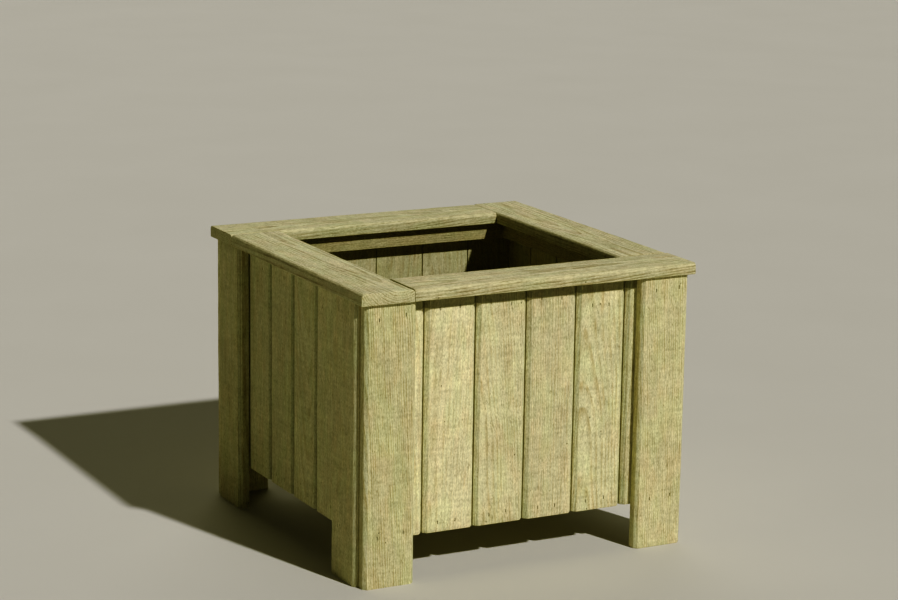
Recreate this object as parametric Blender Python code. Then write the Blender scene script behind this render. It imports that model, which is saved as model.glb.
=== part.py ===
"""A square softwood planter box: boarded sides, L-shaped corner legs, a pinwheel rim and a slatted base.

The box stands on z = 0, centred on the z axis. Its front looks along -Y. All sizes are in metres.
"""

import math

import bmesh
import bpy
from mathutils import Matrix, Vector

# Overall sizes
RIM_SIDE = 0.500            # outside of the square rim
HEIGHT = 0.396              # floor to the top of the rim
GAP = 0.0003                # air between pieces that touch

# Rim planks
RIM_THICK = 0.016
RIM_WIDE = 0.076

# Leg boards
LEG_THICK = 0.016
LEG_WIDE = 0.0735
RIM_OVER_FRONT = 0.006      # rim beyond the legs' face boards
RIM_OVER_SIDE = 0.002       # rim beyond the legs' flank boards
LEFT_STEP = 0.0068          # a flank board stands this proud of the edge of the face board to its right
RIGHT_STEP = 0.0042         # and this proud of the one to its left

# Side boards: tongue and groove, with a V at each joint
BOARD_THICK = 0.014
BOARD_PITCH = 0.0757
BOARD_FOOT = 0.060          # floor to the lower end of the boards
V_WIDE = 0.0055             # each chamfer of the V, across and deep
JOINT_OPEN = 0.0020         # slit at the bottom of the V
TONGUE_LONG = 0.0050
TONGUE_THICK = 0.0036
TONGUE_PLAY = 0.0004        # groove is bigger than the tongue by this on each side
FRONT_SHIFT = 0.0050        # the front boards' middle joint is this far right of the middle, seen from outside
FLANK_SHIFT = -0.0039       # the same for the side boards, where a minus sign is to the left

# Inner frame and base
BATTEN = 0.025              # square section
BATTEN_FOOT = 0.066         # floor to the underside of the bottom battens
SLAT_COUNT = 6
SLAT_THICK = 0.016
SLAT_SPACE = 0.0105         # drainage gap

# Edges
LEG_BEVEL = 0.0050          # flat bevel on the two outer edges of a leg board
LEG_BACK_EASE = 0.0008      # on its two inner edges
RIM_ARRIS = 0.0050          # rounding of a rim plank's upper edges
RIM_LOWER_ARRIS = 0.0014    # of its lower edges
BATTEN_ARRIS = 0.0015
ARRIS_STEPS = 3

HALF = RIM_SIDE / 2
RIM_UNDER = HEIGHT - RIM_THICK
BOARD_TOP = RIM_UNDER - GAP
FRONT_FACE = HALF - RIM_OVER_FRONT - LEG_THICK - GAP    # outer face of the front boards, from the middle
FLANK_FACE = HALF - RIM_OVER_SIDE - LEG_THICK - GAP     # outer face of the side boards, from the middle
FRONT_INNER = FRONT_FACE - BOARD_THICK
FLANK_INNER = FLANK_FACE - BOARD_THICK

COLOURS = {
    "leg": (0.48, 0.42, 0.21),
    "rim": (0.52, 0.46, 0.25),
    "board": (0.50, 0.43, 0.22),
    "batten": (0.44, 0.38, 0.20),
    "slat": (0.46, 0.40, 0.22),
}


def clear_scene():
    for thing in list(bpy.data.objects):
        bpy.data.objects.remove(thing, do_unlink=True)


def wood(name, colour):
    material = bpy.data.materials.new(name)
    material.use_nodes = True
    shader = material.node_tree.nodes["Principled BSDF"]
    shader.inputs["Base Color"].default_value = (*colour, 1.0)
    shader.inputs["Roughness"].default_value = 0.75
    shader.inputs["Metallic"].default_value = 0.0
    return material


def rounded_rectangle(wide, thick, upper, lower):
    """Corner points of a rectangle from (0, 0) to (wide, thick), anticlockwise.

    upper and lower are the radii of its rounded corners at y = thick and at y = 0.
    """
    corners = [
        (wide - upper, thick - upper, upper),
        (upper, thick - upper, upper),
        (lower, lower, lower),
        (wide - lower, lower, lower),
    ]
    points = []
    for corner, (x, y, radius) in enumerate(corners):
        for step in range(ARRIS_STEPS + 1):
            angle = math.radians(90) * (corner + step / ARRIS_STEPS)
            points.append((x + radius * math.cos(angle), y + radius * math.sin(angle)))
    return points


def leg_outline():
    """Section of a leg board: its outer face is y = 0, and its outer edges are bevelled."""
    bevel, ease = LEG_BEVEL, LEG_BACK_EASE
    outline = [(bevel, 0), (LEG_WIDE - bevel, 0), (LEG_WIDE, bevel), (LEG_WIDE, LEG_THICK - ease)]
    outline += [(LEG_WIDE - ease, LEG_THICK), (ease, LEG_THICK), (0, LEG_THICK - ease), (0, bevel)]
    return outline


def board_outline(wide, groove, tongue):
    """Section of a side board: its outer face is y = 0 and its inner face y = BOARD_THICK.

    groove and tongue say whether the left and the right edge are jointed or sawn plain.
    """
    middle = (V_WIDE + BOARD_THICK) / 2
    slot = TONGUE_THICK / 2 + TONGUE_PLAY
    right = wide - JOINT_OPEN
    outline = []
    if tongue:
        outline += [(right - V_WIDE, 0), (right, V_WIDE)]
        outline += [(right, middle - TONGUE_THICK / 2), (right + TONGUE_LONG, middle - TONGUE_THICK / 2)]
        outline += [(right + TONGUE_LONG, middle + TONGUE_THICK / 2), (right, middle + TONGUE_THICK / 2)]
        outline += [(right, BOARD_THICK)]
    else:
        outline += [(wide, 0), (wide, BOARD_THICK)]
    if groove:
        depth = TONGUE_LONG + TONGUE_PLAY
        outline += [(0, BOARD_THICK), (0, middle + slot), (depth, middle + slot)]
        outline += [(depth, middle - slot), (0, middle - slot), (0, V_WIDE), (V_WIDE, 0)]
    else:
        outline += [(0, BOARD_THICK), (0, 0)]
    return outline


def extruded(name, outline, length, place, material):
    """One closed solid: an outline in x and y, extruded along z, then moved by the matrix place."""
    shape = bmesh.new()
    corners = [shape.verts.new((x, y, 0.0)) for x, y in outline]
    cap = shape.faces.new(corners)
    grown = bmesh.ops.extrude_face_region(shape, geom=[cap])
    top = [item for item in grown["geom"] if isinstance(item, bmesh.types.BMVert)]
    bmesh.ops.translate(shape, verts=top, vec=(0.0, 0.0, length))
    bmesh.ops.recalc_face_normals(shape, faces=shape.faces)
    mesh = bpy.data.meshes.new(name)
    shape.to_mesh(mesh)
    shape.free()
    mesh.materials.append(material)
    mesh.shade_smooth()
    mesh.set_sharp_from_angle(angle=math.radians(40))
    piece = bpy.data.objects.new(name, mesh)
    piece.matrix_world = place
    bpy.context.collection.objects.link(piece)
    return piece


def axes(x_axis, y_axis, z_axis, origin):
    """A matrix whose columns are three axes and an origin."""
    turned = Matrix((x_axis, y_axis, z_axis)).transposed().to_4x4()
    turned.translation = Vector(origin)
    return turned


def turn(degrees):
    return Matrix.Rotation(math.radians(degrees), 4, "Z")


def half_turns(names):
    """Each name with its turn about z, for pieces that repeat front and back, or left and right."""
    return zip(names, (turn(0), turn(180)))


def make_front_boards(material):
    """Six boards on the front and six on the back, whole but for the last, running on behind the legs."""
    half_run = 3 * BOARD_PITCH
    for side, spin in half_turns(("front", "back")):
        for index in range(6):
            left = FRONT_SHIFT - half_run + index * BOARD_PITCH
            wide = min(BOARD_PITCH, FLANK_FACE - left)
            outline = board_outline(wide, groove=True, tongue=index < 5)
            place = axes((1, 0, 0), (0, 1, 0), (0, 0, 1), (left, -FRONT_FACE, BOARD_FOOT))
            extruded(f"side_board_{side}_{index + 1}", outline, BOARD_TOP - BOARD_FOOT, spin @ place, material)


def make_flank_boards(material):
    """Four whole boards and two ripped ones on the left and right, between the front and back boards."""
    run_end = FRONT_INNER - GAP
    joints = [step * BOARD_PITCH - FLANK_SHIFT for step in range(-2, 3)]
    edges = [-run_end, *joints, run_end]
    for side, spin in half_turns(("left", "right")):
        for index in range(6):
            near, far = edges[5 - index], edges[6 - index]
            outline = board_outline(far - near, groove=index > 0, tongue=index < 5)
            place = axes((0, -1, 0), (1, 0, 0), (0, 0, 1), (-FLANK_FACE, far, BOARD_FOOT))
            extruded(f"side_board_{side}_{index + 1}", outline, BOARD_TOP - BOARD_FOOT, spin @ place, material)


def make_legs(material):
    """Four corner legs, each a face board that covers the edge of a flank board."""
    outline = leg_outline()
    front, flank = HALF - RIM_OVER_FRONT, HALF - RIM_OVER_SIDE
    behind = front - LEG_THICK - GAP
    to_right, to_front, up = (1, 0, 0), (0, -1, 0), (0, 0, 1)
    to_left, to_back = (-1, 0, 0), (0, 1, 0)
    # Each turn makes a front leg and the back leg diagonally across from it
    for turned, left_name, right_name in ((0, "front_left", "front_right"), (180, "back_right", "back_left")):
        spin = turn(turned)
        place = axes(to_right, to_back, up, (LEFT_STEP - flank, -front, 0.0))
        extruded(f"leg_{left_name}_face_board", outline, BOARD_TOP, spin @ place, material)
        place = axes(to_front, to_right, up, (-flank, LEG_WIDE - behind, 0.0))
        extruded(f"leg_{left_name}_flank_board", outline, BOARD_TOP, spin @ place, material)
        place = axes(to_right, to_back, up, (flank - RIGHT_STEP - LEG_WIDE, -front, 0.0))
        extruded(f"leg_{right_name}_face_board", outline, BOARD_TOP, spin @ place, material)
        place = axes(to_back, to_left, up, (flank, -behind, 0.0))
        extruded(f"leg_{right_name}_flank_board", outline, BOARD_TOP, spin @ place, material)


def make_rim(material):
    """Four planks in a pinwheel: each butts the inner edge of the next one round."""
    outline = rounded_rectangle(RIM_WIDE, RIM_THICK, RIM_ARRIS, RIM_LOWER_ARRIS)
    length = RIM_SIDE - RIM_WIDE - GAP
    place = axes((-1, 0, 0), (0, 0, 1), (0, 1, 0), (RIM_WIDE - HALF, -HALF, RIM_UNDER))
    for quarter, side in enumerate(("left", "front", "right", "back")):
        extruded(f"rim_plank_{side}", outline, length, turn(90 * quarter) @ place, material)


def make_battens(material):
    """A square of battens under the rim and another below, inside the boards."""
    outline = rounded_rectangle(BATTEN, BATTEN, BATTEN_ARRIS, BATTEN_ARRIS)
    reach = FLANK_INNER - GAP
    front_inner = FRONT_INNER - GAP
    short_reach = front_inner - BATTEN - GAP
    for level, foot in (("top", BOARD_TOP - BATTEN), ("bottom", BATTEN_FOOT)):
        for side, spin in half_turns(("front", "back")):
            place = axes((0, 1, 0), (0, 0, 1), (1, 0, 0), (-reach, -front_inner, foot))
            extruded(f"{level}_batten_{side}", outline, 2 * reach, spin @ place, material)
        for side, spin in half_turns(("left", "right")):
            place = axes((0, 0, 1), (1, 0, 0), (0, 1, 0), (-reach, -short_reach, foot))
            extruded(f"{level}_batten_{side}", outline, 2 * short_reach, spin @ place, material)


def make_base(material):
    """Slats across the bottom battens, with drainage gaps between them."""
    reach = FLANK_INNER - GAP
    half_run = FRONT_INNER - GAP
    wide = (2 * half_run - (SLAT_COUNT - 1) * SLAT_SPACE) / SLAT_COUNT
    outline = rounded_rectangle(wide, SLAT_THICK, BATTEN_ARRIS, BATTEN_ARRIS)
    foot = BATTEN_FOOT + BATTEN + GAP
    for index in range(SLAT_COUNT):
        start = -half_run + index * (wide + SLAT_SPACE)
        place = axes((0, 1, 0), (0, 0, 1), (1, 0, 0), (-reach, start, foot))
        extruded(f"base_slat_{index + 1}", outline, 2 * reach, place, material)


def main():
    clear_scene()
    materials = {name: wood(f"{name}_wood", colour) for name, colour in COLOURS.items()}
    make_rim(materials["rim"])
    make_legs(materials["leg"])
    make_front_boards(materials["board"])
    make_flank_boards(materials["board"])
    make_battens(materials["batten"])
    make_base(materials["slat"])


main()
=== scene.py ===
"""Looks of a square softwood planter box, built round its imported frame. All sizes are in metres."""

import math
import random

import bmesh
import bpy
from mathutils import Matrix, Vector, noise


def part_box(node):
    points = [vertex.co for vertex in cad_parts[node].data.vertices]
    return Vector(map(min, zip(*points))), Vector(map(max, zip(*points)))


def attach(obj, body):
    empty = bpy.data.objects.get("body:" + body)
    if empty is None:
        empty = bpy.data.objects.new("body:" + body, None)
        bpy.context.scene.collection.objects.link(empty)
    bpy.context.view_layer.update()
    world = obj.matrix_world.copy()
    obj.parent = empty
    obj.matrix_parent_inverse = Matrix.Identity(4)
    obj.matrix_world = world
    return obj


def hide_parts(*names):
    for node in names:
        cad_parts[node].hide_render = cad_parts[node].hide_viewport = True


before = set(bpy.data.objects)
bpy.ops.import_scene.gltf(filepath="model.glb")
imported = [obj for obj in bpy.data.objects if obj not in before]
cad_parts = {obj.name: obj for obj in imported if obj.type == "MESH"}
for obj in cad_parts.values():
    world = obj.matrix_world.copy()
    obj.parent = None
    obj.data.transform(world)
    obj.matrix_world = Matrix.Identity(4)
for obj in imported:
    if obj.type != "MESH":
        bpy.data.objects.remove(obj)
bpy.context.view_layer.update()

# Sections of the boards, as machined
LEG_BEVEL = 0.0050          # flat bevel on the outer long edges of a leg board
LEG_BACK_EASE = 0.0008      # rounding of its inner long edges
RIM_ARRIS = 0.0050          # rounding of a rim plank's upper edges
RIM_LOWER_ARRIS = 0.0014    # of its lower edges
SAWN_ARRIS = 0.0012         # of battens and slats
V_WIDE = 0.0055             # each chamfer of a V-joint, across and deep
SOFTEN = 0.0007             # rounding where a chamfer or bevel meets a face
TONGUE_LONG = 0.0050
TONGUE_THICK = 0.0036
TONGUE_PLAY = 0.0004        # a groove is bigger than its tongue by this on each side
JOINT_OPEN = 0.0020         # slit at the bottom of a V
END_EASE = 0.0006           # rounding of sawn ends
ARRIS_STEPS = 6
CUT_EVERY = 0.012           # length of one stretch of a board's mesh
TOUCH = 1e-6                # points this close are in one place
NEAR = 1e-5                 # the same after several cuts

# How far hand and machine stray
WANDER = 0.00030            # waviness of the faces and arrises
WANDER_SEED = 4             # with a seed of 0 the waviness would differ from run to run
BOW = 0.00030               # slow bend over a board's length

# Staples: a crown of flattened wire, driven a little below the surface
STAPLE_LONG = 0.0046
STAPLE_WIRE = 0.0009
STAPLE_FLAT = 0.8           # the crown's depth, as a share of its width
STAPLE_SUNK = 0.00035
SLOT_MARGIN = 0.00020
SLOT_DEEP = 0.0010
BOARD_STAPLE_FOOT = 0.0155  # height of a board's lower staples over its end
BOARD_STAPLE_DROPS = (0.018, 0.034)    # depths of its upper staples below its top: one of these
BOARD_STAPLE_SHARES = (0.27, 0.64)     # places across the board
BOARD_STAPLE_STRAY = (0.03, 0.0025)    # how far they stray: share of the width, and height
LEG_STAPLE_FOOT = 0.070
LEG_STAPLE_DROP = 0.020
LEG_STAPLE_SHARES = (0.29, 0.75)
LEG_STAPLE_STRAY = (0.04, 0.004)

# How much darker end grain is than a planed face; the same scale sets the painted shade and painted light
# on edges, bevels, joints and under the rim. What follows SIDE_DARKER is in shares of it.
SIDE_DARKER = 0.26
FACE_LEG_SIDES = (-0.5, -0.8)    # painted light: paler on the bevels and the sides of a leg's face board
FLANK_LEG_SIDES = (0.9, 1.0)     # painted shade: darker on those of its flank board
JOINT_SIDE = 1.0                 # painted shade on the edges of the boards, inside the joints
SUNNY_V = (0.0, -0.55)           # on the V of a front joint, from its mouth to its bottom: painted light, paler toward the bottom
SHADY_V = (0.0, 1.9)             # on the V of any other, from its mouth to its bottom: painted shade, darkest at the bottom
RIM_SHADOW_DROP = 0.0155                 # painted shadow of the rim: it darkens the front boards this far down from the rim
# darkness of the painted shadow under the rim
RIM_SHADOW_DARKNESS = 2.1

# Camera and light
CAMERA_PLACE = Vector((-1.6342, -3.1308, 1.1069))
CAMERA_YAW = 27.64          # degrees, looking to the right of +Y
CAMERA_PITCH = 12.63        # degrees, looking down
CAMERA_ROLL = 0.86
CAMERA_LENS = 103.95        # millimetres on a 36 mm wide sensor
SUN = (16.0, 38.0)          # degrees to the right of the front, and up
SUN_STRENGTH = 2.4
BACK_FILL = (162.0, 26.0)
BACK_FILL_STRENGTH = 0.60
CEILING = 0.01              # brightness of the surround overhead
HORIZON = 0.27              # and level with the box
BLUE_CURVE = ((0.05, 0.033), (0.11, 0.092), (0.21, 0.21))    # takes some blue out of the dark tones

# Growth: colours of early and late wood, ring pitch, roughness, and how far the fibres stand up
WOODS = {
    "leg_wood": ((0.565, 0.520, 0.325), (0.385, 0.320, 0.160), 0.0031, 0.78, 0.2),
    # rim_wood is lighter than board_wood: partly weathering, partly painted light from above on the rim's
    # top.
    "rim_wood": ((0.640, 0.600, 0.375), (0.360, 0.305, 0.160), 0.0034, 0.76, 0.2),
    "board_wood": ((0.588, 0.546, 0.345), (0.410, 0.332, 0.172), 0.0030, 0.76, 0.2),
    "batten_wood": ((0.50, 0.45, 0.26), (0.33, 0.27, 0.125), 0.0030, 0.86, 0.9),
    "slat_wood": ((0.51, 0.46, 0.27), (0.33, 0.27, 0.125), 0.0032, 0.86, 0.9),
}

# Boards whose lightness, greenness and strength of rings are set, not drawn
TONES = {
    "side_board_front_1": (1.06, 0.10, 0.45),
    "side_board_front_2": (1.06, 0.08, 0.40),
    "side_board_front_3": (0.99, 0.16, 0.55),
    "side_board_front_4": (0.93, 0.08, 0.50),
    "side_board_front_5": (1.00, 0.20, 0.60),
    "side_board_front_6": (0.90, 0.20, 0.70),
    # The left boards are set darker toward the back and greener than the front ones: painted shade of that
    # side.
    "side_board_left_1": (0.90, 0.30, 0.50),
    "side_board_left_2": (0.90, 0.34, 0.33),
    "side_board_left_3": (0.935, 0.38, 0.38),
    "side_board_left_4": (0.985, 0.40, 0.50),
    "side_board_left_5": (1.035, 0.33, 0.45),
    "side_board_left_6": (1.03, 0.33, 0.55),
    "leg_front_left_flank_board": (1.06, 0.24, 0.70),
    "leg_front_right_face_board": (0.99, 0.18, 0.70),
}


# ---------------------------------------------------------------- shader arithmetic

class Value:
    """A socket in a material, with arithmetic that adds Math nodes."""

    def __init__(self, paint, socket):
        self.paint = paint
        self.socket = socket

    def math(self, operation, *others):
        inputs = dict(enumerate((self, *others)))
        return self.paint.node("ShaderNodeMath", {"operation": operation}, inputs)

    def __add__(self, other):
        return self.math("ADD", other)

    def __sub__(self, other):
        return self.math("SUBTRACT", other)

    def __mul__(self, other):
        return self.math("MULTIPLY", other)

    def __truediv__(self, other):
        return self.math("DIVIDE", other)

    def __rsub__(self, other):
        return self.paint.node("ShaderNodeMath", {"operation": "SUBTRACT"}, {0: other, 1: self})

    __radd__ = __add__
    __rmul__ = __mul__


class Paint:
    """The node tree of a material or world, and the nodes that every finish here uses."""

    def __init__(self, owner, shader="Principled BSDF"):
        owner.use_nodes = True
        self.owner = owner
        self.tree = owner.node_tree
        self.shader = self.tree.nodes[shader]

    def connect(self, socket, value):
        if isinstance(value, Value):
            self.tree.links.new(value.socket, socket)
        elif socket.type == "RGBA" and len(value) == 3:
            socket.default_value = (*value, 1.0)
        else:
            socket.default_value = value

    def node(self, kind, settings, inputs, output=0):
        made = self.tree.nodes.new(kind)
        for key, setting in settings.items():
            setattr(made, key, setting)
        for key, value in inputs.items():
            self.connect(made.inputs[key], value)
        return Value(self, made.outputs[output])

    def attribute(self, name, output="Vector"):
        return self.node("ShaderNodeAttribute", {"attribute_name": name}, {}, output)

    def split(self, vector):
        return [self.node("ShaderNodeSeparateXYZ", {}, {0: vector}, axis) for axis in range(3)]

    def join(self, x, y, z):
        return self.node("ShaderNodeCombineXYZ", {}, {0: x, 1: y, 2: z})

    def noise(self, place, scale=1.0, detail=2.0, roughness=0.5):
        inputs = {"Vector": place, "Scale": scale, "Detail": detail, "Roughness": roughness}
        return self.node("ShaderNodeTexNoise", {}, inputs)

    def step(self, value, low, high):
        """0 below low, 1 above high, eased between."""
        inputs = {"Value": value, "From Min": low, "From Max": high}
        return self.node("ShaderNodeMapRange", {"interpolation_type": "SMOOTHSTEP"}, inputs)

    def mix(self, amount, first, second, blend="MIX"):
        settings = {"data_type": "RGBA", "blend_type": blend}
        return self.node("ShaderNodeMix", settings, {0: amount, 6: first, 7: second}, 2)

    def finish(self, inputs):
        for key, value in inputs.items():
            self.connect(self.shader.inputs[key], value)
        return self.owner


# ---------------------------------------------------------------- finishes

class Grain:
    """Patterns in softwood. The attribute "log" is a point's place in the log: across, up, along."""

    def __init__(self, paint):
        self.paint = paint
        self.across, self.up, self.along = paint.split(paint.attribute("log"))
        self.fibre = self.figure(0.9, 15.0)
        self.dash = self.figure(2.0, 7.0, 1.0)
        self.streak = self.figure(5.0, 160.0)
        self.chatter = self.figure(50.0, 5.5, 1.0)
        self.mottle = self.figure(11.0, 19.0, 3.0)
        self.cloud = self.figure(34.0, 80.0)
        self.speckle = self.figure(1.7, 3.2, 1.0, 4.0)

    def figure(self, wide, long, detail=2.0, shift=0.0):
        """Noise about 0 whose features are so many millimetres across and along the grain."""
        per_wide, per_long = 1000.0 / wide, 1000.0 / long
        place = self.paint.join(
            self.across * per_wide + shift, self.up * per_wide, self.along * per_long + shift
        )
        return self.paint.noise(place, detail=detail, roughness=0.55) - 0.5

    def rings(self, pitch):
        """1 in late wood. The trunk wanders and its rings ripple."""
        step = self.paint.step
        radius = (self.across * self.across + self.up * self.up).math("SQRT")
        radius = radius + self.figure(110.0, 450.0) * 0.020 + self.figure(14.0, 110.0, 1.0) * 0.0016
        uneven = self.paint.noise(self.paint.join(radius * 90.0, 0.0, 0.0), detail=1.0)
        phase = (radius / pitch + uneven * 1.8).math("FRACT")
        late_wood = step(phase, 0.30, 0.86) * (1.0 - step(phase, 0.90, 1.0))
        return late_wood * (0.45 + uneven * 0.7) * (0.5 + step(self.figure(7.0, 34.0), -0.10, 0.12) * 0.9)

    def pores(self):
        return self.paint.step(self.figure(1.2, 4.6, 1.0, 50.0), 0.13, 0.22)

    def pin_holes(self):
        """Sparse specks: about one in eight cells of a Voronoi pattern has one."""
        place = self.paint.join(self.across * 110.0, self.up * 110.0, self.along * 75.0)
        cells = {"Vector": place, "Scale": 1.0}
        distance = self.paint.node("ShaderNodeTexVoronoi", {}, cells, "Distance")
        kind = self.paint.split(self.paint.node("ShaderNodeTexVoronoi", {}, cells, "Color"))[0]
        return (1.0 - self.paint.step(distance, 0.05, 0.12)) * self.paint.step(kind, 0.86, 0.90)


def treat(paint, grain, colour, greenness):
    """Treatment takes unevenly: greener and tanner patches."""
    green = paint.step(grain.figure(24.0, 55.0, 2.0, 11.0) + grain.cloud * 0.5, -0.10, 0.17) * 0.42
    tan = paint.step(grain.figure(20.0, 46.0, 2.0, 27.0) + grain.streak * 0.25, -0.08, 0.17) * 0.50
    colour = paint.mix(green + greenness, colour, (0.865, 0.955, 0.845), "MULTIPLY")
    return paint.mix(tan, colour, (1.0, 0.905, 0.87), "MULTIPLY")


def shade(paint, grain, colour, lightness, fuzz):
    """Lighter and darker with the fibres, darker on end grain, and with the painted shade and painted light
    that "side" carries.
    """
    depth = 1.0 + grain.mottle * 0.30 + grain.cloud * 0.32 + grain.streak * 0.34
    depth = depth + grain.dash * 0.40 + grain.fibre * 0.44 + grain.chatter * 0.30
    depth = depth + grain.speckle * (0.66 + fuzz * 0.3)
    depth = depth * lightness * (1.0 - paint.attribute("side", "Fac") * SIDE_DARKER)
    colour = paint.mix(1.0, colour, paint.join(depth, depth, depth), "MULTIPLY")
    # Bevels and the sides of a V are tinted cooler: painted, for the colour of the light in their shade.
    return paint.mix(paint.attribute("bevel", "Fac"), colour, (0.955, 0.99, 1.03), "MULTIPLY")


def softwood(name, early, late, ring_pitch, roughness, fuzz):
    """Pressure-treated softwood.

    The attribute "tone" is the board's own lightness, greenness and strength of rings. "arris" is 1 on
    rounded edges, which are made paler: partly wear, partly a painted highlight. "bevel" is 1 on bevels
    and on the sides of a V, which get a cooler painted tint for the colour of their shade. "side" says how
    much darker a surface is than a planed face: 1 on sawn ends, for their end grain; elsewhere it is
    painted shade on edges, in joints, in Vs and under the rim, and negative where light is painted.
    """
    paint = Paint(bpy.data.materials.new(name))
    grain = Grain(paint)
    lightness, greenness, ring_strength = paint.split(paint.attribute("tone"))
    late_wood, pores, pin_holes = grain.rings(ring_pitch), grain.pores(), grain.pin_holes()

    colour = paint.mix(late_wood * ring_strength, early, late)
    colour = treat(paint, grain, colour, greenness)
    colour = shade(paint, grain, colour, lightness, fuzz)
    colour = paint.mix(pores * 0.42, colour, (0.160, 0.125, 0.040))
    colour = paint.mix(pin_holes * 0.80, colour, (0.060, 0.050, 0.018))
    # Paler along the arrises: partly wear, partly a painted highlight.
    wear_and_highlight = paint.attribute("arris", "Fac") * (0.16 + paint.step(grain.dash, -0.10, 0.12) * 0.34)
    colour = paint.mix(wear_and_highlight, colour, (0.64, 0.60, 0.36))

    height = late_wood * 0.30 + grain.fibre * 0.9 + grain.dash * 0.8 + grain.speckle * (0.35 + fuzz)
    height = height + grain.mottle * 0.8 + grain.chatter * 0.7 - pores * 0.5 - pin_holes * 1.2
    bump = paint.node("ShaderNodeBump", {}, {"Strength": 0.75, "Distance": 0.0005, "Height": height})
    rough = roughness + grain.dash * 0.20 + grain.mottle * 0.14 - late_wood * 0.06
    return paint.finish({
        "Base Color": colour, "Roughness": rough, "Normal": bump, "Specular IOR Level": 0.22,
    })


def staple_wire():
    """Zinc-plated wire, dulled by the treatment salts."""
    paint = Paint(bpy.data.materials.new("staple_wire"))
    place = paint.node("ShaderNodeTexCoord", {}, {}, "Object")
    dull = paint.noise(place, 900.0, 3.0)
    colour = paint.mix(paint.step(dull, 0.42, 0.68), (0.105, 0.095, 0.055), (0.230, 0.215, 0.150))
    return paint.finish({"Base Color": colour, "Metallic": 0.45, "Roughness": 0.50 + dull * 0.3})


def pale_floor():
    paint = Paint(bpy.data.materials.new("pale_floor"))
    place = paint.node("ShaderNodeTexCoord", {}, {}, "Object")
    mottle = paint.noise(place, 3.0, 3.0)
    colour = paint.mix(mottle, (0.575, 0.56, 0.50), (0.605, 0.59, 0.53))
    return paint.finish({"Base Color": colour, "Roughness": 0.9, "Specular IOR Level": 0.1})


# ---------------------------------------------------------------- boards

def blank(size):
    """A sawn blank: a box from the origin to size."""
    shape = bmesh.new()
    bmesh.ops.create_cube(shape, size=1.0)
    bmesh.ops.translate(shape, verts=shape.verts, vec=(0.5, 0.5, 0.5))
    bmesh.ops.scale(shape, verts=shape.verts, vec=size)
    return shape


def round_edges(shape, chosen, radius, steps):
    edges = [edge for edge in shape.edges if chosen(*[vert.co for vert in edge.verts])]
    bmesh.ops.bevel(
        shape, geom=edges, offset=radius, segments=steps, affect="EDGES", profile=0.5, material=-1
    )


def lengthwise(first, second):
    return abs(first.z - second.z) > 0.01


def cut_across(shape, height):
    geometry = shape.verts[:] + shape.edges[:] + shape.faces[:]
    bmesh.ops.bisect_plane(shape, geom=geometry, dist=TOUCH, plane_co=(0, 0, height), plane_no=(0, 0, 1))


def mark_section(shape, wide, thick, bevel=0.0, arris=0.0, inner_side=1.0, bevel_side=(0.0, 0.0)):
    """Writes the layers "arris", 1 where no flat face of the section runs, "bevel" and "side"."""
    arris_layer = shape.verts.layers.float.new("arris")
    bevel_layer = shape.verts.layers.float.new("bevel")
    side_layer = shape.verts.layers.float.new("side")
    for vert in shape.verts:
        x, y = vert.co.x, vert.co.y
        near_side = min(x, wide - x)
        flats = [near_side, y, thick - y]
        if bevel:
            flats.append(near_side + y - bevel)
            if abs(near_side + y - bevel) < NEAR:
                # On a bevel or the side of a V, "side" is painted shade or painted light, as bevel_side
                # gives it.
                outer, inner = bevel_side
                vert[bevel_layer] = 1.0
                vert[side_layer] = outer + (inner - outer) * y / bevel
            elif near_side < NEAR:
                # On a board's edges, "side" is painted shade in joints and on flank boards, and painted
                # light on face boards.
                vert[side_layer] = inner_side
        elif arris:
            # The upright faces of a plain board are darker than its top and underside: partly darker edge
            # wood, partly painted shade.
            vert[side_layer] = 1.0 - min(near_side / arris, 1.0)
        vert[arris_layer] = 1.0 if min(abs(flat) for flat in flats) > NEAR else 0.0


def ease_ends(shape):
    """Rounds the sawn ends a little, and marks the end grain."""
    side_layer = shape.verts.layers.float["side"]
    length = max(vert.co.z for vert in shape.verts)
    round_edges(shape, lambda a, b: abs(a.z - b.z) < TOUCH, END_EASE, 2)
    for vert in shape.verts:
        if min(vert.co.z, length - vert.co.z) < TOUCH:
            vert[side_layer] = 1.0


def plain_board(wide, thick, length, upper, lower):
    """A board with arrises rounded to two radii, at y = 0 and at y = thick, standing on z = 0."""
    shape = blank((wide, thick, length))
    round_edges(shape, lambda a, b: lengthwise(a, b) and a.y < TOUCH, upper, ARRIS_STEPS)
    round_edges(shape, lambda a, b: lengthwise(a, b) and a.y > thick - TOUCH, lower, ARRIS_STEPS)
    mark_section(shape, wide, thick, arris=upper)
    ease_ends(shape)
    return shape


def bevelled_board(wide, thick, length, bevel_side, inner_side):
    """A leg board: y = 0 is its outer face, whose two long edges are bevelled."""
    shape = blank((wide, thick, length))
    round_edges(shape, lambda a, b: lengthwise(a, b) and a.y < TOUCH, LEG_BEVEL, 1)
    round_edges(shape, lambda a, b: lengthwise(a, b) and a.y < LEG_BEVEL + TOUCH, SOFTEN, 3)
    round_edges(shape, lambda a, b: lengthwise(a, b) and a.y > thick - TOUCH, LEG_BACK_EASE, 2)
    mark_section(
        shape, wide, thick, bevel=LEG_BEVEL, inner_side=inner_side, bevel_side=(bevel_side, bevel_side)
    )
    ease_ends(shape)
    return shape


def paint_rim_shadow(shape, length):
    """Paints the rim's shadow: darkens the band under the rim."""
    side_layer = shape.verts.layers.float["side"]
    for height in (length - RIM_SHADOW_DROP, length - RIM_SHADOW_DROP - 0.001):
        cut_across(shape, height)
    for vert in shape.verts:
        if vert.co.z > length - RIM_SHADOW_DROP - NEAR:
            vert[side_layer] = max(vert[side_layer], RIM_SHADOW_DARKNESS)


def faces_at(shape, axis, place):
    """The faces that lie in one plane across an axis."""
    return [face for face in shape.faces if all(abs(vert.co[axis] - place) < TOUCH for vert in face.verts)]


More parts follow.
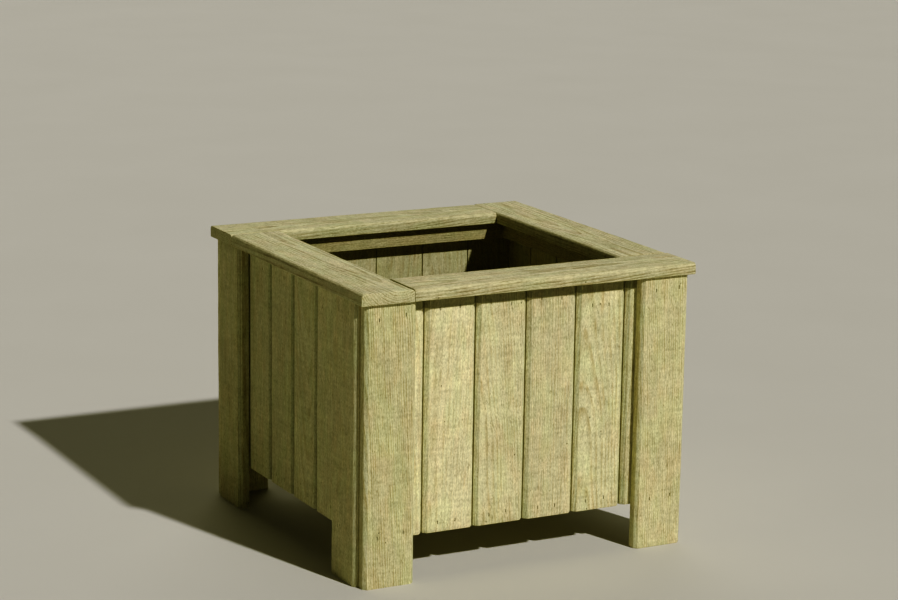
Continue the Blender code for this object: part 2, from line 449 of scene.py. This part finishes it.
def split_faces(shape, faces, place, direction):
    """Cuts only these faces along a plane."""
    edges = dict.fromkeys(edge for face in faces for edge in face.edges)
    verts = dict.fromkeys(vert for face in faces for vert in face.verts)
    geometry = [*faces, *edges, *verts]
    bmesh.ops.bisect_plane(shape, geom=geometry, dist=TOUCH, plane_co=place, plane_no=direction)


def push_faces(shape, faces, distance):
    grown = bmesh.ops.extrude_face_region(shape, geom=faces)
    moved = [item for item in grown["geom"] if isinstance(item, bmesh.types.BMVert)]
    bmesh.ops.translate(shape, verts=moved, vec=distance)
    bmesh.ops.delete(shape, geom=faces, context="FACES")


def push_strip(shape, x, low, high, distance):
    """Extrudes the strip of the face at x between depths low and high, to make a tongue or a groove."""
    for depth in (low, high):
        split_faces(shape, faces_at(shape, 0, x), (0, depth, 0), (0, 1, 0))
    strip = [face for face in faces_at(shape, 0, x) if low < face.calc_center_median().y < high]
    push_faces(shape, strip, (distance, 0, 0))


def jointed_board(wide, thick, length, groove, tongue, v_side):
    """A V-jointed board: y = 0 is its outer face. groove is on its left edge and tongue on its right."""
    right = wide - (JOINT_OPEN if tongue else 0.0)
    shape = blank((right, thick, length))
    sides = ([0.0] if groove else []) + ([right] if tongue else [])

    def on_joint(first, second):
        at_side = any(abs(first.x - side) < TOUCH for side in sides)
        return lengthwise(first, second) and first.y < TOUCH and at_side

    round_edges(shape, on_joint, V_WIDE, 1)
    round_edges(shape, lambda a, b: lengthwise(a, b) and a.y < V_WIDE + TOUCH, SOFTEN, 3)
    mark_section(shape, right, thick, bevel=V_WIDE, inner_side=JOINT_SIDE, bevel_side=v_side)
    ease_ends(shape)
    middle = (V_WIDE + thick) / 2
    half = TONGUE_THICK / 2
    if tongue:
        push_strip(shape, right, middle - half, middle + half, TONGUE_LONG)
    if groove:
        slack = half + TONGUE_PLAY
        push_strip(shape, 0.0, middle - slack, middle + slack, TONGUE_LONG + TONGUE_PLAY)
    return shape


def sink_slot(shape, x, z):
    """A staple's slot in the outer face, y = 0: a small face cut out of it and pushed in."""
    half_wide = STAPLE_WIRE / 2 + SLOT_MARGIN
    half_long = STAPLE_LONG / 2 + SLOT_MARGIN
    cuts = [((x + side * half_wide, 0, 0), (1, 0, 0)) for side in (-1, 1)]
    cuts += [((0, 0, z + side * half_long), (0, 0, 1)) for side in (-1, 1)]
    for place, direction in cuts:
        outer = faces_at(shape, 1, 0.0)
        close = [face for face in outer if abs(face.calc_center_median().z - z) < CUT_EVERY * 2]
        split_faces(shape, close, place, direction)
    floor = [
        face for face in faces_at(shape, 1, 0.0)
        if abs(face.calc_center_median().x - x) < half_wide
        and abs(face.calc_center_median().z - z) < half_long
    ]
    push_faces(shape, floor, (0, SLOT_DEEP, 0))


def draw(chance, *ranges):
    """One random number from each range."""
    return tuple(chance.uniform(low, high) for low, high in ranges)


class Cut:
    """How one board came out of its log: its pith, lean, tone and bow. Repeatable for each name."""

    def __init__(self, name, wide, pith=None, tone=None):
        chance = random.Random("planter " + name)
        self.start = chance.uniform(0, 40)
        self.seed = Vector(draw(chance, (0, 90), (0, 90), (0, 90)))
        side = chance.choice((-1, 1))
        self.pith = pith or (wide / 2 + side * chance.uniform(0.0, 0.06), chance.uniform(0.03, 0.09))
        self.lean = draw(chance, (-0.06, 0.06), (-0.05, 0.05))
        self.tone = tone or draw(chance, (0.90, 1.02), (0.0, 0.25), (0.3, 0.6))
        self.bow = draw(chance, (-BOW, BOW), (-BOW, BOW))


def weather(shape, cut, length):
    """Slow bend and fine waviness, so that no two boards are quite alike."""
    for vert in shape.verts:
        x, y, z = vert.co
        drift = noise.noise_vector(Vector((x * 60.0, y * 60.0, z * 38.0)) + cut.seed) * WANDER
        curve = math.sin(math.pi * z / length)
        vert.co += Vector((drift.x + cut.bow[0] * curve, drift.y + cut.bow[1] * curve, drift.z * 1.5))


def keep_inside(shape, low, high):
    """Trims whatever strays out of a box."""
    for vert in shape.verts:
        for axis in range(3):
            vert.co[axis] = min(max(vert.co[axis], low[axis]), high[axis])


def carry_log(shape, cut):
    """Writes where each point sits in the log, and the board's tone."""
    log = shape.verts.layers.float_vector.new("log")
    tone = shape.verts.layers.float_vector.new("tone")
    for vert in shape.verts:
        x, y, z = vert.co
        vert[log] = (
            x - cut.pith[0] + cut.lean[0] * z, y + cut.pith[1] + cut.lean[1] * z, z + cut.start,
        )
        vert[tone] = cut.tone


def set_down(name, shape, place, material, node):
    """Turns a finished shape into a piece, which stands for a node if one is given."""
    shape.transform(place)
    if node:
        keep_inside(shape, *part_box(node))
    bmesh.ops.recalc_face_normals(shape, faces=shape.faces)
    mesh = bpy.data.meshes.new(name)
    shape.to_mesh(mesh)
    shape.free()
    mesh.materials.append(material)
    mesh.shade_smooth()
    mesh.set_sharp_from_angle(angle=math.radians(35))
    piece = bpy.data.objects.new(name, mesh)
    bpy.context.scene.collection.objects.link(piece)
    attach(piece, "root")
    if node:
        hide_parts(node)
    return piece


def finish_board(name, shape, cut, length, place, material, node, slots=()):
    """Cuts a section's long shape into stretches, wears it a little and puts it in its place."""
    step_count = max(2, round(length / CUT_EVERY))
    for step in range(1, step_count):
        cut_across(shape, length * step / step_count)
    for x, z in slots:
        sink_slot(shape, x, z)
    carry_log(shape, cut)
    weather(shape, cut, length)
    return set_down(name, shape, place, material, node)


def axes(x_axis, y_axis, z_axis, origin):
    """A matrix whose columns are three axes and an origin."""
    turned = Matrix((x_axis, y_axis, z_axis)).transposed().to_4x4()
    turned.translation = Vector(origin)
    return turned


# Outward views of the four sides: along the face to the right, into the box, up
FACES = {
    "front": ((1, 0, 0), (0, 1, 0)),
    "back": ((-1, 0, 0), (0, -1, 0)),
    "left": ((0, -1, 0), (1, 0, 0)),
    "right": ((0, 1, 0), (-1, 0, 0)),
}


def face_place(side, low, high):
    """A board's own frame on a side, from its lower left outer corner: x to the right, y inward, z up."""
    right, inward = (Vector(axis) for axis in FACES[side])
    corner = Vector((0.0, 0.0, low.z))
    for axis in (right, inward):
        index = 0 if abs(axis[0]) > 0.5 else 1
        corner[index] = low[index] if axis[index] > 0 else high[index]
    return axes(right, inward, (0, 0, 1), corner)


def extent(low, high, direction):
    """Size of a box along one of its axes."""
    return abs((high - low).dot(Vector(direction)))


def upright(node, side):
    """Frame, width, thickness and length of a board that stands against a side."""
    low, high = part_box(node)
    right, inward = FACES[side]
    place = face_place(side, low, high)
    return place, extent(low, high, right), extent(low, high, inward), high.z - low.z


def lying(node, side):
    """Frame, width, thickness and length of a bar that lies along a side.

    It stands on its left end in its frame: x is out of the box, y down, z along to the right.
    """
    low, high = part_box(node)
    right, inward = (Vector(axis) for axis in FACES[side])
    wide = extent(low, high, inward)
    corner = face_place(side, low, high).translation + inward * wide
    corner.z = high.z
    place = axes(-inward, (0, 0, -1), right, corner)
    return place, wide, high.z - low.z, extent(low, high, right)


staples = {side: [] for side in FACES}


def staple_places(chance, wide, heights, shares, stray):
    """Places of a board's staples on its outer face, across and up."""
    return [
        (wide * (share + chance.uniform(-stray[0], stray[0])), height + chance.uniform(-stray[1], stray[1]))
        for height in heights
        for share in shares
    ]


def drive_staples(side, place, slots):
    for x, z in slots:
        staples[side].append(place @ Matrix.Translation((x, STAPLE_SUNK, z)))


def build_side_board(side, index, material):
    node = f"side_board_{side}_{index}"
    chance = random.Random("staples " + node)
    tongue = index < 6
    groove = index > 1 or side in ("front", "back")
    place, wide, thick, length = upright(node, side)
    if tongue:
        wide = wide - TONGUE_LONG + JOINT_OPEN
    # painted light in the Vs of the front, painted shade in the Vs of the other sides
    shape = jointed_board(wide, thick, length, groove, tongue, SUNNY_V if side == "front" else SHADY_V)
    # The front boards get the painted shadow of the rim.
    if side == "front":
        paint_rim_shadow(shape, length)
    cut = Cut(node, wide, tone=TONES.get(node))
    heights = (BOARD_STAPLE_FOOT, length - chance.choice(BOARD_STAPLE_DROPS))
    slots = staple_places(chance, wide, heights, BOARD_STAPLE_SHARES, BOARD_STAPLE_STRAY)
    drive_staples(side, place, slots)
    name = f"{side}_board_{index}"
    finish_board(name, shape, cut, length, place, material, node, slots)


def build_leg_board(y_name, x_name, part, material):
    node = f"leg_{y_name}_{x_name}_{part}_board"
    chance = random.Random("staples " + node)
    side = y_name if part == "face" else x_name
    place, wide, thick, length = upright(node, side)
    shape = bevelled_board(wide, thick, length, *(FACE_LEG_SIDES if part == "face" else FLANK_LEG_SIDES))
    tone = draw(chance, (0.92, 0.96), (0.20, 0.36), (0.6, 0.85))
    pith = (-chance.uniform(0.05, 0.12), chance.uniform(0.01, 0.05))
    cut = Cut(node, wide, pith, TONES.get(node, tone))
    heights = (LEG_STAPLE_FOOT, length - LEG_STAPLE_DROP)
    slots = staple_places(chance, wide, heights, LEG_STAPLE_SHARES, LEG_STAPLE_STRAY)
    drive_staples(side, place, slots)
    finish_board(node, shape, cut, length, place, material, node, slots)


def build_rim_plank(side, material):
    node = f"rim_plank_{side}"
    chance = random.Random("rim " + node)
    place, wide, thick, length = lying(node, side)
    shape = plain_board(wide, thick, length, RIM_ARRIS, RIM_LOWER_ARRIS)
    tone = draw(chance, (0.94, 1.0), (0.05, 0.2), (0.75, 0.95))
    pith = (wide * chance.uniform(0.3, 0.7), chance.uniform(0.02, 0.04))
    cut = Cut(node, wide, pith, tone)
    finish_board(node, shape, cut, length, place, material, node)


def build_bar(node, side, material):
    """A sawn bar lying along a side: a batten or a slat."""
    place, wide, thick, length = lying(node, side)
    shape = plain_board(wide, thick, length, SAWN_ARRIS, SAWN_ARRIS)
    finish_board(node, shape, Cut(node, wide), length, place, material, node)


def build_staples(material):
    """One piece for each side. Every staple's crown is a short flat bar with rounded ends."""
    for side, places in staples.items():
        group = bmesh.new()
        for place in places:
            made = bmesh.ops.create_cube(group, size=1.0)["verts"]
            bmesh.ops.scale(group, verts=made, vec=(STAPLE_WIRE, STAPLE_WIRE * STAPLE_FLAT, STAPLE_LONG))
            edges = dict.fromkeys(edge for vert in made for edge in vert.link_edges)
            bevelled = bmesh.ops.bevel(
                group, geom=list(edges), offset=STAPLE_WIRE * 0.28, segments=2,
                affect="EDGES", profile=0.5, material=-1,
            )
            verts = dict.fromkeys(vert for vert in [*made, *bevelled["verts"]] if vert.is_valid)
            sunk = place @ Matrix.Translation((0, STAPLE_WIRE * STAPLE_FLAT / 2, 0))
            bmesh.ops.transform(group, matrix=sunk, verts=list(verts))
        set_down(f"staples_{side}", group, Matrix.Identity(4), material, None)


# ---------------------------------------------------------------- stage, light and camera

def build_floor():
    shape = bmesh.new()
    bmesh.ops.create_grid(shape, x_segments=1, y_segments=1, size=60.0)
    mesh = bpy.data.meshes.new("floor")
    shape.to_mesh(mesh)
    shape.free()
    mesh.materials.append(pale_floor())
    floor = bpy.data.objects.new("floor", mesh)
    bpy.context.scene.collection.objects.link(floor)


def toward(azimuth, height):
    """Unit vector from the box towards a light, azimuth in degrees to the right of the front."""
    turn, rise = math.radians(azimuth), math.radians(height)
    return Vector((math.sin(turn) * math.cos(rise), -math.cos(turn) * math.cos(rise), math.sin(rise)))


def add_light(name, kind, direction, distance, settings):
    light = bpy.data.lights.new(name, kind)
    for key, value in settings.items():
        setattr(light, key, value)
    lamp = bpy.data.objects.new(name, light)
    lamp.location = direction * distance
    lamp.rotation_euler = direction.to_track_quat("Z", "Y").to_euler()
    bpy.context.scene.collection.objects.link(lamp)


def build_light():
    key = {"energy": SUN_STRENGTH, "angle": math.radians(2.0), "color": (1.0, 0.985, 0.94)}
    add_light("key", "SUN", toward(*SUN), 4.0, key)
    fill = {"energy": BACK_FILL_STRENGTH, "angle": math.radians(50.0), "color": (1.0, 0.97, 0.88)}
    add_light("back_fill", "SUN", toward(*BACK_FILL), 4.0, fill)
    bpy.context.scene.world = build_surround()


def build_surround():
    """A pale band round the horizon under a dim ceiling."""
    paint = Paint(bpy.data.worlds.new("studio"), "Background")
    rise = paint.split(paint.node("ShaderNodeTexCoord", {}, {}, "Generated"))[2]
    band = 1.0 - paint.step(rise, 0.12, 0.34)
    return paint.finish({"Color": (1.0, 0.96, 0.84), "Strength": CEILING + band * (HORIZON - CEILING)})


def build_camera():
    lens = bpy.data.cameras.new("camera")
    lens.sensor_width = 36.0
    lens.lens = CAMERA_LENS
    camera = bpy.data.objects.new("camera", lens)
    camera.location = CAMERA_PLACE
    turn = Matrix.Rotation(math.radians(-CAMERA_YAW), 4, "Z")
    tilt = Matrix.Rotation(math.radians(90.0 - CAMERA_PITCH), 4, "X")
    roll = Matrix.Rotation(math.radians(CAMERA_ROLL), 4, "Z")
    camera.rotation_euler = (turn @ tilt @ roll).to_euler()
    bpy.context.scene.collection.objects.link(camera)
    bpy.context.scene.camera = camera


def set_view(view):
    view.view_transform = "Standard"
    view.look = "High Contrast"
    view.use_curve_mapping = True
    blue = view.curve_mapping.curves[2]
    for place, level in BLUE_CURVE:
        blue.points.new(place, level)
    view.curve_mapping.update()


def main():
    noise.seed_set(WANDER_SEED)
    woods = {name: softwood(name, *look) for name, look in WOODS.items()}
    for side in FACES:
        for index in range(1, 7):
            build_side_board(side, index, woods["board_wood"])
    for y_name in ("front", "back"):
        for x_name in ("left", "right"):
            for part in ("face", "flank"):
                build_leg_board(y_name, x_name, part, woods["leg_wood"])
    for side in FACES:
        build_rim_plank(side, woods["rim_wood"])
    for level in ("top", "bottom"):
        for side in FACES:
            build_bar(f"{level}_batten_{side}", side, woods["batten_wood"])
    for index in range(1, 7):
        build_bar(f"base_slat_{index}", "front", woods["slat_wood"])
    build_staples(staple_wire())
    build_floor()
    build_light()
    build_camera()
    set_view(bpy.context.scene.view_settings)


main()
